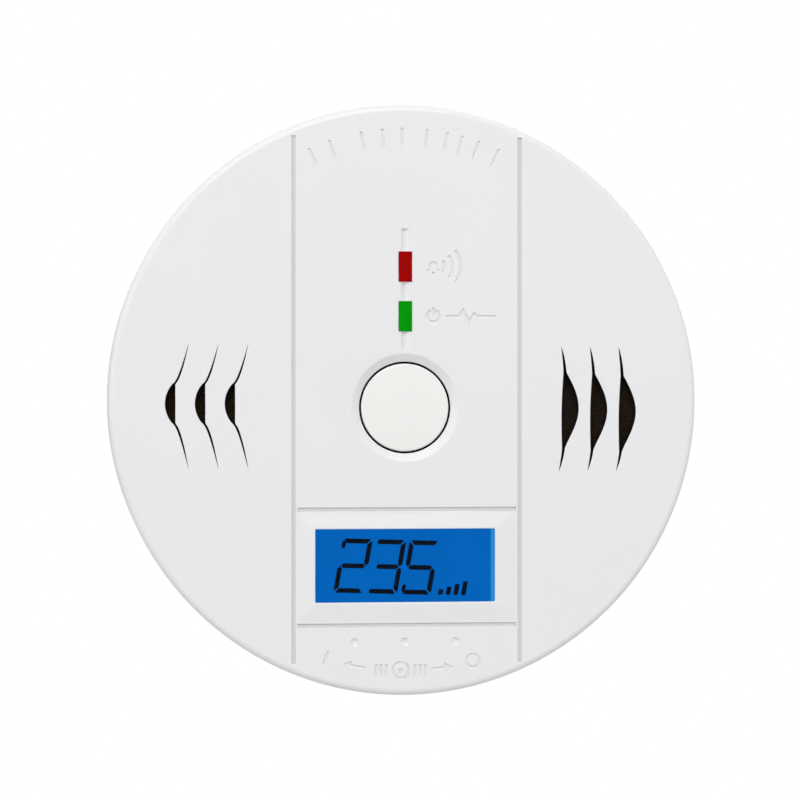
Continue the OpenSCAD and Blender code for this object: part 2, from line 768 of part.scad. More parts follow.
module positive_contact() color("silver") on_wall() terminal_contact(-lead_x, 1);
module negative_contact() color("silver") on_wall() terminal_contact(lead_x, -1);
module upper_link_contact() color("silver") on_wall() contact_plate(-4.5, cell_pitch + 5, 1);
module lower_link_contact() color("silver") on_wall() contact_plate(-cell_pitch - 5, 4.5, -1);

spring_l = bay_l - 2 * contact_t - 0.05 - cell_l - 2 * spring_gap;

// Cone of wire that presses on the flat end of a cell
module contact_spring(x, way) {
    steps = 14 * spring_turns;
    path = [for (i = [0:steps]) let (s = i / steps, a = 360 * spring_turns * s, r = 4.3 - 1.9 * s)
        [r * cos(a), r * sin(a), spring_wire_r + s * (spring_l - 2 * spring_wire_r)]];
    outward = [for (p = path) [p.x, p.y, 0]];
    translate([x, -way * (bay_l / 2 - contact_t - spring_gap), cell_z])
        rotate([-90 * way, 0, 0]) swept_tube(path, outward, spring_wire_r, 8);
}

module contact_springs() color("silver") on_wall() {
    contact_spring(-cell_pitch, 1);
    contact_spring(0, -1);
    contact_spring(cell_pitch, 1);
}

module battery_lead(x, way) {
    path = [for (p = lead_route) [x, way * p.x, p.y]];
    swept_tube(path, [for (p = path) [way, 0, 0]], lead_r, 10);
}

module red_battery_lead() color("red") on_wall() battery_lead(-lead_x, 1);
module black_battery_lead() color("black") on_wall() battery_lead(lead_x, -1);

// ---- Screws ----

// Pan-head screw that points along +Z, with its head's seat at z = 0
module screw(shank_r, length, head_r, head_t) difference() {
    union() {
        cylinder_between(shank_r, -eps, length);
        rotate_extrude() polygon([
            [0, -head_t], [head_r * 0.7, -head_t], [head_r, -head_t * 0.55], [head_r, 0], [0, 0]
        ]);
    }
    for (turn = [0, 90]) rotate([0, 0, turn])
        block([head_r * 1.2, head_r * 0.3, head_t * 0.5], [0, 0, -head_t - eps]);
}

module housing_screws() color("silver") on_wall() mirrored_corners(cover_boss)
    translate([0, 0, screw_ledge_z]) screw(housing_screw_r, 12, 2.6, 1.9);

module board_screws() color("silver") on_wall() for (at = board_bosses)
    translate([at.x, at.y, board_bottom]) screw(board_screw_r, 6.5, 2, 1.4);

mounting_bracket();
rear_housing();
front_cover();
test_button();
button_seal();
test_switch_plunger();
test_switch_body();
alarm_light_guide();
operate_light_guide();
alarm_led();
operate_led();
display_window();
lcd_glass();
lcd_backlight();
lcd_frame();
lcd_pins();
circuit_board();
microcontroller();
microcontroller_legs();
coil_core();
coil_winding();
filter_capacitor();
chip_components();
buzzer_housing();
piezo_disc();
piezo_ceramic();
co_sensor_can();
co_sensor_base();
co_sensor_pins();
left_dust_filter();
right_dust_filter();
aa_cell_left();
aa_cell_middle();
aa_cell_right();
positive_contact();
negative_contact();
upper_link_contact();
lower_link_contact();
contact_springs();
red_battery_lead();
black_battery_lead();
housing_screws();
board_screws();
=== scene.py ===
import math

import bmesh
import bpy
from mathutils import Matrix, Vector
from mathutils.geometry import delaunay_2d_cdt


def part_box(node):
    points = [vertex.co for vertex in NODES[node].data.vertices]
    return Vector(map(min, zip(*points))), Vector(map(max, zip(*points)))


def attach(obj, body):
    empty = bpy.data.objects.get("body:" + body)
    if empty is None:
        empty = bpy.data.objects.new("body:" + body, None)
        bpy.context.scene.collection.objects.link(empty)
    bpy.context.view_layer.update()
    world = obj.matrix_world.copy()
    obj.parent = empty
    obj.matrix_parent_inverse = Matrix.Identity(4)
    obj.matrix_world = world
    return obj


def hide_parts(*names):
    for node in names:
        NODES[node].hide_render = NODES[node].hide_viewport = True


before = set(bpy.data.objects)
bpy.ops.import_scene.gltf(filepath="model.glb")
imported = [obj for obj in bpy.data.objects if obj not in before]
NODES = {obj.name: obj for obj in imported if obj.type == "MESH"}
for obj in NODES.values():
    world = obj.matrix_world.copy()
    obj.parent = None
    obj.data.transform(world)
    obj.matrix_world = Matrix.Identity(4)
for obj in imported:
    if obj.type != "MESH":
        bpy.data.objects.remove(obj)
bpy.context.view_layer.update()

MM = 0.001

# The face of the detector looks along -Y. A face point is given as (x, z), with its depth along Y.
COVER_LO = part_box("front_cover")[0]
GLASS_LO, GLASS_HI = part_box("lcd_glass")


# ---- Materials ----

class Shader:
    """A Principled material with short calls for the nodes that these surfaces share."""

    def __init__(self, name, colour, rough, metallic=0.0, specular=0.5):
        self.mat = bpy.data.materials.new(name)
        self.mat.use_nodes = True
        self.tree = self.mat.node_tree
        self.bsdf = self.tree.nodes["Principled BSDF"]
        self.bsdf.inputs["Base Color"].default_value = (*colour, 1)
        self.bsdf.inputs["Roughness"].default_value = rough
        self.bsdf.inputs["Metallic"].default_value = metallic
        self.bsdf.inputs["Specular IOR Level"].default_value = specular
        self.coords = self.add("ShaderNodeTexCoord").outputs["Object"]
        self.normal = None

    def add(self, kind, **values):
        node = self.tree.nodes.new(kind)
        for key, value in values.items():
            setattr(node, key, value)
        return node

    def link(self, a, b):
        self.tree.links.new(a, b)

    def noise(self, size, detail=3.0, rough=0.5, stretch=(1, 1, 1)):
        """Noise whose blotches are about size metres across."""
        mapping = self.add("ShaderNodeMapping")
        mapping.inputs["Scale"].default_value = stretch
        self.link(self.coords, mapping.inputs["Vector"])
        node = self.add("ShaderNodeTexNoise")
        node.inputs["Scale"].default_value = 1 / size
        node.inputs["Detail"].default_value = detail
        node.inputs["Roughness"].default_value = rough
        self.link(mapping.outputs["Vector"], node.inputs["Vector"])
        return node.outputs["Fac"]

    def span(self, fac, low, high, at_low=0.0, at_high=1.0):
        """fac from at_low to at_high becomes low to high."""
        node = self.add("ShaderNodeMapRange")
        node.inputs["From Min"].default_value = at_low
        node.inputs["From Max"].default_value = at_high
        node.inputs["To Min"].default_value = low
        node.inputs["To Max"].default_value = high
        self.link(fac, node.inputs["Value"])
        return node.outputs["Result"]

    def mix(self, fac, a, b):
        """Colour a where fac is 0 and b where it is 1. a and b are colours or sockets."""
        node = self.add("ShaderNodeMix", data_type="RGBA")
        self.link(fac, node.inputs["Factor"])
        for value, socket in ((a, node.inputs[6]), (b, node.inputs[7])):
            if isinstance(value, bpy.types.NodeSocket):
                self.link(value, socket)
            else:
                socket.default_value = (*value, 1)
        return node.outputs[2]

    def math(self, operation, a, b=None):
        node = self.add("ShaderNodeMath", operation=operation)
        for value, socket in ((a, node.inputs[0]), (b, node.inputs[1])):
            if isinstance(value, bpy.types.NodeSocket):
                self.link(value, socket)
            elif value is not None:
                socket.default_value = value
        return node.outputs[0]

    def axis(self, letter):
        split = self.add("ShaderNodeSeparateXYZ")
        self.link(self.coords, split.inputs[0])
        return split.outputs[letter]

    def soft_edges(self, radius):
        """Shades the edges as if they were rounded to radius."""
        node = self.add("ShaderNodeBevel", samples=6)
        node.inputs["Radius"].default_value = radius
        self.normal = node.outputs["Normal"]
        return self

    def bump(self, height, depth, strength=1.0):
        node = self.add("ShaderNodeBump")
        node.inputs["Distance"].default_value = depth
        node.inputs["Strength"].default_value = strength
        self.link(height, node.inputs["Height"])
        if self.normal is not None:
            self.link(self.normal, node.inputs["Normal"])
        self.normal = node.outputs["Normal"]
        return self

    def paint(self, socket):
        self.link(socket, self.bsdf.inputs["Base Color"])
        return self

    def done(self):
        if self.normal is not None:
            self.link(self.normal, self.bsdf.inputs["Normal"])
        return self.mat


def shade(colour, factor):
    return tuple(min(1.0, c * factor) for c in colour)


def moulded(name, colour, rough, grain=0.00018, depth=0.000004, edge=0.00012, specular=0.5):
    """Moulded plastic: a fine spark-eroded grain, faint flow tone and slightly uneven gloss."""
    s = Shader(name, colour, rough, specular=specular)
    flow = s.noise(0.03, 2.0)
    s.paint(s.mix(s.span(flow, 0, 1, 0.3, 0.7), shade(colour, 0.992), shade(colour, 1.006)))
    s.link(s.span(s.noise(0.004, 4.0), rough - 0.03, rough + 0.03), s.bsdf.inputs["Roughness"])
    s.soft_edges(edge)
    s.bump(s.noise(grain, 2.0, 0.6), depth, 0.5)
    return s.done()


def metal(name, colour, rough, brush=(1, 1, 1), depth=0.000002):
    """Plated or brushed metal with drawn lines along one axis and faint tarnish."""
    s = Shader(name, colour, rough, metallic=1.0)
    lines = s.noise(0.0006, 3.0, 0.6, brush)
    s.paint(s.mix(s.span(s.noise(0.003, 4.0), 0, 1, 0.35, 0.7), colour, shade(colour, 0.82)))
    s.link(s.span(lines, rough - 0.07, rough + 0.1), s.bsdf.inputs["Roughness"])
    s.soft_edges(0.00008)
    s.bump(lines, depth, 0.6)
    return s.done()


def light_guide(name, colour, deep):
    """Dyed clear plastic, a little darker in soft random blotches."""
    s = Shader(name, colour, 0.25, specular=0.05)
    cloud = s.noise(0.0016, 2.0)
    s.paint(s.mix(s.span(cloud, 0, 1, 0.25, 0.75), deep, colour))
    s.bump(s.noise(0.0003, 2.0), 0.000002, 0.4)
    return s.done()


def board_mask():
    """Solder mask over copper: traces stand a little proud and lighter."""
    green = (0.012, 0.16, 0.06)
    s = Shader("board_mask", green, 0.32)
    brick = s.add("ShaderNodeTexBrick", offset=0.35, squash=1.6, squash_frequency=3)
    brick.inputs["Scale"].default_value = 1.0
    brick.inputs["Brick Width"].default_value = 0.0042
    brick.inputs["Row Height"].default_value = 0.0011
    brick.inputs["Mortar Size"].default_value = 0.00018
    turned = s.add("ShaderNodeMapping")
    turned.inputs["Rotation"].default_value = (math.pi / 2, 0, 0)
    s.link(s.coords, turned.inputs["Vector"])
    s.link(turned.outputs["Vector"], brick.inputs["Vector"])
    lines = brick.outputs["Fac"]
    s.paint(s.mix(lines, green, (0.03, 0.28, 0.11)))
    s.bump(lines, 0.00002, 0.6)
    return s.done()


def foam():
    """Dark open-cell foam."""
    s = Shader("filter_foam", (0.016, 0.0095, 0.005), 0.95, specular=0.2)
    cells = s.add("ShaderNodeTexVoronoi", feature="F1")
    cells.inputs["Scale"].default_value = 1 / 0.0006
    s.link(s.coords, cells.inputs["Vector"])
    pores = s.span(cells.outputs["Distance"], 0, 1, 0.1, 0.7)
    s.paint(s.mix(pores, (0.012, 0.0068, 0.0032), (0.021, 0.012, 0.006)))
    s.bump(pores, 0.00025, 0.8)
    return s.done()


def cell_wrap():
    """A cell's printed wrap: a plain two-tone sleeve, with the bare steel can at its ends."""
    s = Shader("cell_wrap", (0.06, 0.08, 0.11), 0.28, metallic=0.35)
    bare_from, band_from = 0.0243, 0.009
    along = s.axis("Z")
    ring = s.math("GREATER_THAN", s.math("ABSOLUTE", along), bare_from)
    band = s.math("GREATER_THAN", along, band_from)
    tone = s.mix(band, (0.05, 0.062, 0.08), (0.62, 0.33, 0.08))
    s.paint(s.mix(ring, tone, (0.62, 0.61, 0.58)))
    s.link(s.span(ring, 0.35, 1.0), s.bsdf.inputs["Metallic"])
    s.link(s.span(s.noise(0.002, 3.0), 0.22, 0.36), s.bsdf.inputs["Roughness"])
    s.bump(s.noise(0.004, 2.0, 0.5, (1, 1, 0.2)), 0.00003, 0.4)
    return s.done()


def lcd_face():
    """The display's blue ground, lit from behind, with a painted highlight: paler in a band at its
    right-hand edge, where the glass's side catches light.
    """
    blue, pale = (0.0006, 0.120, 0.478), (0.02, 0.25, 0.68)
    s = Shader("lcd_face", (0.0002, 0.003, 0.012), 0.3, specular=0.0)
    across = s.axis("X")
    # Painted highlight: towards its right-hand edge the blue turns paler, in place of light caught by the
    # glass's side.
    glow_and_highlight = s.mix(s.span(across, 0, 0.3, 0.01515, 0.01522), blue, pale)
    highlight_band = s.span(across, 0, 1, 0.01530, 0.01536)
    cloud = s.span(s.noise(0.012, 2.0), 0.96, 1.04, 0.3, 0.7)
    s.link(s.mix(highlight_band, glow_and_highlight, pale), s.bsdf.inputs["Emission Color"])
    s.link(cloud, s.bsdf.inputs["Emission Strength"])
    return s.done()


def clear_pane():
    """The window over the display: clear, with a faint reflection."""
    s = Shader("clear_pane", (1, 1, 1), 0.03)
    clear = s.add("ShaderNodeBsdfTransparent")
    gloss = s.add("ShaderNodeMixShader")
    fresnel = s.add("ShaderNodeFresnel")
    fresnel.inputs["IOR"].default_value = 1.08
    mirror = s.add("ShaderNodeBsdfGlossy")
    mirror.inputs["Roughness"].default_value = 0.04
    s.link(fresnel.outputs[0], gloss.inputs[0])
    s.link(clear.outputs[0], gloss.inputs[1])
    s.link(mirror.outputs[0], gloss.inputs[2])
    s.link(gloss.outputs[0], s.tree.nodes["Material Output"].inputs["Surface"])
    return s.mat


WHITE = (0.80, 0.80, 0.81)
cover_white = moulded("cover_white", WHITE, 0.42)
# Painted shade: the grooves' floors are white moulding, and this darker grey stands in for the shade down
# in these shallow recesses.
groove_painted_shade = moulded("groove_painted_shade", (0.66, 0.66, 0.665), 0.5)
# Painted shade: the vent walls are white moulding, and this near-black stands in for the shade down inside
# the vents.
vent_painted_shade = moulded("vent_painted_shade", (0.012, 0.009, 0.006), 0.8, specular=0.2)
ink = moulded("lcd_ink", (0.001, 0.004, 0.010), 0.5, specular=0.05)
nickel = metal("nickel", (0.66, 0.64, 0.58), 0.24, (8, 8, 1))
MATERIALS = {
    "front_cover": cover_white,
    "rear_housing": moulded("housing_white", (0.77, 0.77, 0.775), 0.45, 0.00022, 0.000005),
    "mounting_bracket": moulded("bracket_white", (0.73, 0.73, 0.725), 0.5, 0.00025, 0.000006),
    "test_button": moulded("button_ivory", (0.85, 0.85, 0.832), 0.34, 0.00014, 0.000002),
    # The seal is a real black part, and its near-black is also painted shade: it makes the thin gap round
    # the cap read as a dark ring.
    "button_seal": moulded("seal_black_gap_shade", (0.003, 0.003, 0.003), 0.8, specular=0.08),
    "test_switch_plunger": moulded("plunger_black", (0.02, 0.02, 0.021), 0.4),
    "test_switch_body": moulded("switch_dark", (0.03, 0.03, 0.033), 0.5),
    "alarm_light_guide": light_guide("guide_red", (0.36, 0.0006, 0.0006), (0.31, 0.0004, 0.0004)),
    "operate_light_guide": light_guide("guide_green", (0.0008, 0.31, 0.0008), (0.0006, 0.27, 0.0006)),
    "alarm_led": light_guide("led_red", (0.5, 0.02, 0.015), (0.4, 0.01, 0.01)),
    "operate_led": light_guide("led_green", (0.05, 0.45, 0.06), (0.03, 0.35, 0.04)),
    "display_window": clear_pane(),
    "lcd_glass": lcd_face(),
    "lcd_backlight": moulded("backlight_blue", (0.35, 0.6, 0.9), 0.3),
    "lcd_frame": moulded("frame_white", (0.72, 0.73, 0.73), 0.45),
    "lcd_pins": metal("pin_tin", (0.7, 0.7, 0.7), 0.3, (1, 8, 1)),
    "circuit_board": board_mask(),
    "microcontroller": moulded("chip_black", (0.018, 0.018, 0.019), 0.55, 0.0001, 0.000006),
    "microcontroller_legs": metal("leg_tin", (0.7, 0.7, 0.7), 0.3, (8, 8, 1)),
    "coil_core": moulded("ferrite", (0.03, 0.03, 0.031), 0.7, 0.0003, 0.00002),
    "coil_winding": metal("copper", (0.68, 0.27, 0.09), 0.3, (1, 16, 1), 0.00004),
    "filter_capacitor": moulded("sleeve_blue", (0.012, 0.02, 0.11), 0.25, 0.0008, 0.000004),
    "chip_components": moulded("chip_ceramic", (0.36, 0.24, 0.13), 0.4, 0.0002, 0.000006),
    "buzzer_housing": moulded("buzzer_black", (0.02, 0.02, 0.021), 0.4),
    "piezo_disc": metal("piezo_brass", (0.72, 0.5, 0.2), 0.25),
    "piezo_ceramic": metal("piezo_silver", (0.75, 0.74, 0.7), 0.45),
    "co_sensor_can": metal("sensor_steel", (0.6, 0.6, 0.6), 0.3, (1, 12, 1)),
    "co_sensor_base": moulded("sensor_base", (0.02, 0.02, 0.021), 0.6),
    "co_sensor_pins": metal("sensor_gold", (0.8, 0.6, 0.25), 0.25),
    "left_dust_filter": foam(),
    "right_dust_filter": foam(),
    "positive_contact": nickel,
    "negative_contact": nickel,
    "upper_link_contact": nickel,
    "lower_link_contact": nickel,
    "contact_springs": metal("spring_steel", (0.62, 0.6, 0.56), 0.28, (4, 4, 1)),
    "red_battery_lead": moulded("lead_red", (0.45, 0.012, 0.01), 0.4),
    "black_battery_lead": moulded("lead_black", (0.016, 0.016, 0.017), 0.4),
    "housing_screws": metal("zinc", (0.6, 0.61, 0.62), 0.35, (1, 1, 4)),
    "board_screws": metal("zinc_small", (0.6, 0.61, 0.62), 0.35, (1, 1, 4)),
}
wrap = cell_wrap()
for name in ("aa_cell_left", "aa_cell_middle", "aa_cell_right"):
    MATERIALS[name] = wrap
for name, node in NODES.items():
    node.data.materials.clear()
    node.data.materials.append(MATERIALS[name])


# ---- Shapes in the plane of the face ----
# They are in millimetres: x to the right, y up the wall and z out from it.

FACE_Z, UNDER_Z, PART_Z = 35.8, 33.6, 17.0
BODY_R, DRAFT, EDGE_R, WALL = 51.5, math.tan(math.radians(1)), 1.2, 2.2
STRIP_X, STRIP_HALF = 0.33, 19.7
GROOVE_W, GROOVE_HALF, GROOVE_DEPTH = 0.7, 45.6, 0.25
BUTTON_Y, BORE_R, DISH_R, DISH_DEPTH = -1.3, 7.97, 9.35, 0.9
COLLAR_OUT, COLLAR_Z = 1.45, 30.4
LIGHTS, LIGHT_HALF = (23.1, 14.5), (1.16, 2.61)
CHANNEL_HALF, CHANNEL_TOP, CHANNEL_DEPTH, CHANNEL_LEAN = 0.72, 29.7, 0.5, -0.38
WINDOW_Y, WINDOW_HALF, WINDOW_SINK = -28.65, (15.65, 6.35), 0.45
BEZEL_AT, BEZEL_HALF, BEZEL_RISE = (0.33, -28.95), (19.0, 9.5), 0.4
MARK_W, MARK_DEPTH = 0.48, 0.2
CROSS_GROOVES, CROSS_GAP = (-18.95, -39.0), 0.32
DIMPLE_X, DIMPLE_Y, DIMPLE_R, DIMPLE_DEPTH = 8.8, -41.9, 0.75, 0.32
VENT_HALF = 10.9
# The innermost vent of each side, the step to the next one, and the growing offset of the bells
LEFT_VENT, LEFT_STEP = (-29.6, -1.1), 5.12
RIGHT_VENT, RIGHT_STEP, BELL_DROP = (27.62, -1.55), 5.05, 0.3
SCREW_X, SCREW_Y = 28.4, 31.6
TUBE_R, TUBE_END, PILOT_R, PILOT_END, PILOT_TIP = 3.1, 19, 1.3, 28, 28.6

# Ticks and signs stand on two circles, given by the y of the centre and the radius, which is negative
# below the centre. Their places on them are angles in degrees.
TOP_ARC, LOWER_ARC = (7.4, 38.1), (-1.9, -45)
TICKS = (25, 19.5, 11.2, 5.8, 0.8, -5.6, -10.8, -14.6, -19, -24.4)
STROKE, LEFT_ARROW, GRIP, RIGHT_ARROW, RING = -17.9, -11.1, -1, 7.75, 15.2
SIGN_X, WAVE_X, PULSE_X = 4.9, 5.3, 7.2

# The cover's materials
WHITE_SLOT, GROOVE_SHADE_SLOT, VENT_SHADE_SLOT = 0, 1, 2


def at_wall(x, y, z):
    return (x * MM, -z * MM, y * MM)


def at_height(loop, z):
    return [(x, y, z) for x, y in loop]


def area(loop):
    return sum(a[0] * b[1] - b[0] * a[1] for a, b in zip(loop, loop[1:] + loop[:1])) / 2


def counter_clockwise(loop):
    return loop if area(loop) > 0 else loop[::-1]


def circle(cx, cy, r, n=48, start=0.0):
    angles = [start + i * math.tau / n for i in range(n)]
    return [(cx + r * math.cos(a), cy + r * math.sin(a)) for a in angles]


def moved(loop, dx, dy, degrees=0.0):
    c, s = math.cos(math.radians(degrees)), math.sin(math.radians(degrees))
    return [(dx + x * c - y * s, dy + x * s + y * c) for x, y in loop]


def on_arc(loop, centre_y, r, degrees):
    """A shape drawn about (0, 0) goes to radius r on a circle about (0, centre_y)."""
    return moved(moved(loop, 0, r), 0, centre_y, degrees)


def grown(loop, d):
    """The loop's vertices pushed out to its right by d, with its corners kept from running away."""
    out = []
    n = len(loop)
    for i in range(n):
        (ax, ay), (bx, by), (cx, cy) = loop[i - 1], loop[i], loop[(i + 1) % n]
        l1, l2 = math.hypot(bx - ax, by - ay) or 1, math.hypot(cx - bx, cy - by) or 1
        n1, n2 = ((by - ay) / l1, (ax - bx) / l1), ((cy - by) / l2, (bx - cx) / l2)
        k = d / max(0.45, 1 + n1[0] * n2[0] + n1[1] * n2[1])
        out.append((bx + (n1[0] + n2[0]) * k, by + (n1[1] + n2[1]) * k))
    return out


def bar(w, points, round_ends=True):
    """Outline of a line of width w through points, with round or square ends."""
    def side(pts):
        out = []
        for i, p in enumerate(pts):
            a, b = pts[max(i - 1, 0)], pts[min(i + 1, len(pts) - 1)]
            if 0 < i < len(pts) - 1:
                d1 = (p[0] - a[0], p[1] - a[1])
                d2 = (b[0] - p[0], b[1] - p[1])
                l1, l2 = math.hypot(*d1), math.hypot(*d2)
                n1, n2 = (d1[1] / l1, -d1[0] / l1), (d2[1] / l2, -d2[0] / l2)
                k = w / 2 / max(0.3, 1 + n1[0] * n2[0] + n1[1] * n2[1])
                out.append((p[0] + (n1[0] + n2[0]) * k, p[1] + (n1[1] + n2[1]) * k))
            else:
                d = (b[0] - a[0], b[1] - a[1])
                m = math.hypot(*d)
                out.append((p[0] + d[1] / m * w / 2, p[1] - d[0] / m * w / 2))
        return out

    def cap(p, towards):
        if not round_ends:
            return []
        a0 = math.atan2(towards[1] - p[1], towards[0] - p[0]) - math.pi / 2
        angles = [a0 + math.pi * i / 8 for i in range(1, 8)]
        return [(p[0] + w / 2 * math.cos(a), p[1] + w / 2 * math.sin(a)) for a in angles]

    end_dir = (2 * points[-1][0] - points[-2][0], 2 * points[-1][1] - points[-2][1])
    start_dir = (2 * points[0][0] - points[1][0], 2 * points[0][1] - points[1][1])
    loop = side(points) + cap(points[-1], end_dir) + side(points[::-1]) + cap(points[0], start_dir)
    return counter_clockwise(loop)


def arc_line(r, low, high, cx=0.0, cy=0.0, n=14):
    angles = [math.radians(low + (high - low) * i / n) for i in range(n + 1)]
    return [(cx + r * math.cos(a), cy + r * math.sin(a)) for a in angles]


def between(p, q, steps):
    """The points that cut the line from p to q into steps, without its ends."""
    return [(p[0] + (q[0] - p[0]) * i / steps, p[1] + (q[1] - p[1]) * i / steps) for i in range(1, steps)]


def rounded_rect(cx, cy, hw, hh, r, corner=6, edge=10):
    """Always the same number of points, so that rings of different sizes can be joined."""
    out = []
    for qx, qy, a0 in ((1, 1, 0), (-1, 1, 90), (-1, -1, 180), (1, -1, 270)):
        ox, oy = cx + qx * (hw - r), cy + qy * (hh - r)
        arc = arc_line(r, a0, a0 + 90, ox, oy, corner)
        if out:
            out += between(out[-1], arc[0], edge)
        out += arc
    return out + between(out[-1], out[0], edge)


def filleted(points, radii, steps=6):
    """A polyline whose inner corners are rounded to the radii given."""
    out = [points[0]]
    for a, b, c, r in zip(points, points[1:], points[2:], radii):
        if not r:
            out.append(b)
            continue
        u, v = Vector(a) - Vector(b), Vector(c) - Vector(b)
        half = u.angle(v) / 2
        cut = r / math.tan(half)
        p, q = Vector(b) + u.normalized() * cut, Vector(b) + v.normalized() * cut
        middle = Vector(b) + (u.normalized() + v.normalized()).normalized() * (r / math.sin(half))
        a0 = math.atan2(*(p - middle).yx)
        turn = (math.atan2(*(q - middle).yx) - a0 + math.pi) % math.tau - math.pi
        angles = [a0 + turn * i / steps for i in range(steps + 1)]
        out += [tuple(middle + r * Vector((math.cos(a), math.sin(a)))) for a in angles]
    return out + [points[-1]]


def inside(loop, x, y):
    """Whether the point is inside the loop, by the edges that a ray from it crosses."""
    hit = False
    for (ax, ay), (bx, by) in zip(loop, loop[1:] + loop[:1]):
        if (ay > y) != (by > y) and x < ax + (bx - ax) * (y - ay) / (by - ay):
            hit = not hit
    return hit


class Moulding:
    """Gathers faces in millimetres, welds them and turns them into one piece."""

    def __init__(self):
        self.verts, self.faces, self.smooth, self.slots = [], [], [], []
        self.slot = 0

    def put(self, points, faces, smooth):
        base = len(self.verts)
        self.verts += points
        self.faces += [[base + i for i in f] for f in faces]
        self.smooth += [smooth] * len(faces)
        self.slots += [self.slot] * len(faces)

    def rings(self, rings, smooth=True):
        """Joins closed rings of (x, y, z) with the same number of points."""
        n = len(rings[0])
        points = [p for ring in rings for p in ring]
        faces = [[k * n + i, k * n + (i + 1) % n, (k + 1) * n + (i + 1) % n, (k + 1) * n + i]
                 for k in range(len(rings) - 1) for i in range(n)]
        self.put(points, faces, smooth)

    def turned(self, profile, cx=0.0, cy=0.0, n=160):
        """A surface of revolution about (cx, cy) from (radius, z) points."""
        self.rings([at_height(circle(cx, cy, r, n), z) for r, z in profile])

    def hole(self, loop, edge, z_face, z_end, wall_slot=0, steps=3):
        """A wall down into the face along loop, with its upper edge rounded."""
        rings = []
        for i in range(steps + 1):
            t = math.pi / 2 * i / steps
            ring = grown(loop, edge - edge * math.sin(t))
            rings.append(at_height(ring, z_face - edge + edge * math.cos(t)))
        self.rings(rings)
        self.slot = wall_slot
        self.rings([rings[-1], at_height(loop, z_end)])
        self.slot = 0

    def sheet(self, z, loops, keep):
        """Fills the plane at z between loops wherever keep(number of loops round a point) is true."""
        points, edges = [], []
        for loop in loops:
            base = len(points)
            points += [Vector(p) for p in loop]
            edges += [(base + i, base + (i + 1) % len(loop)) for i in range(len(loop))]
        got, _, tris, *_ = delaunay_2d_cdt(points, edges, [], 0, 1e-7)
        boxes = []
        for loop in loops:
            xs, ys = [p[0] for p in loop], [p[1] for p in loop]
            boxes.append((min(xs), max(xs), min(ys), max(ys), loop))
        faces = []
        for tri in tris:
            x, y = (sum(got[i][k] for i in tri) / 3 for k in (0, 1))
            round_it = sum(x0 < x < x1 and y0 < y < y1 and inside(loop, x, y)
                           for x0, x1, y0, y1, loop in boxes)
            if keep(round_it):
                faces.append(list(tri))
        self.put([(p[0], p[1], z) for p in got], faces, False)

    def piece(self, name, materials, body, sharp=32):
        mesh = bpy.data.meshes.new(name)
        mesh.from_pydata([at_wall(*v) for v in self.verts], [], self.faces)
        mesh.polygons.foreach_set("use_smooth", self.smooth)
        mesh.polygons.foreach_set("material_index", self.slots)
        bm = bmesh.new()
        bm.from_mesh(mesh)
        bmesh.ops.remove_doubles(bm, verts=bm.verts, dist=0.000002)
        bmesh.ops.recalc_face_normals(bm, faces=bm.faces)
        bm.to_mesh(mesh)
        bm.free()
        flags = [face.use_smooth for face in mesh.polygons]
        mesh.set_sharp_from_angle(angle=math.radians(sharp))
        mesh.polygons.foreach_set("use_smooth", flags)
        for material in materials:
            mesh.materials.append(material)
        made = bpy.data.objects.new(name, mesh)
        bpy.context.scene.collection.objects.link(made)
        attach(made, body)
        return made


# ---- Front cover ----

def vent_levels():
    """The heights at which a vent's outline has its points, from its lower tip to its upper one."""
    return [VENT_HALF * i / 32 for i in range(-32, 33)]


def left_slit():
    """An arc in the middle, with a tail at each end that leans towards the centre line."""
    arc_half, arc_y, bulge, lean = 3.45, 0.45, 1.3, 2.45
    r = (arc_half ** 2 + bulge ** 2) / (2 * bulge)

    def width(y):
        return 0.48 * (1 - abs(y / VENT_HALF) ** 2)

    def edges(y):
        v = y - arc_y
        end = VENT_HALF - math.copysign(arc_y, v)
        if abs(v) < arc_half:
            return 0.0, r - bulge - math.sqrt(r * r - v * v)
        x = lean * ((abs(v) - arc_half) / (end - arc_half)) ** 0.64
        return x, x

    ys = vent_levels()
    return ([(edges(y)[0] + width(y) / 3, y) for y in ys]
            + [(edges(y)[1] - width(y) * 2 / 3, y) for y in ys[-2:0:-1]])


def right_slit(drop):
    """A bell-shaped opening beside a bowed edge, with a tail at each end."""
    bulge, bow, lean, slope = 2.45, 0.2, 0.5, 0.02
    upper_half, lower_half = 6.35, 6.9

    def width(y):
        return 0.55 * (1 - abs(y / VENT_HALF) ** 5)

    def edges(y):
        v = y + drop
        half = upper_half if v > 0 else lower_half
        tilt = slope * v
        if abs(v) < half:
            c = math.cos(math.pi / 2 * abs(v) / half)
            return tilt - bow * c, tilt - bow * c + bulge * c ** (1.0 if v > 0 else 1.2)
        end = VENT_HALF + math.copysign(drop, v) - half
        x = tilt - lean * ((abs(v) - half) / end) ** 1.3
        return x, x

    ys = vent_levels()
    return ([(edges(y)[1] + width(y), y) for y in ys[1:-1]]
            + [(edges(y)[0], y) for y in ys[::-1]])


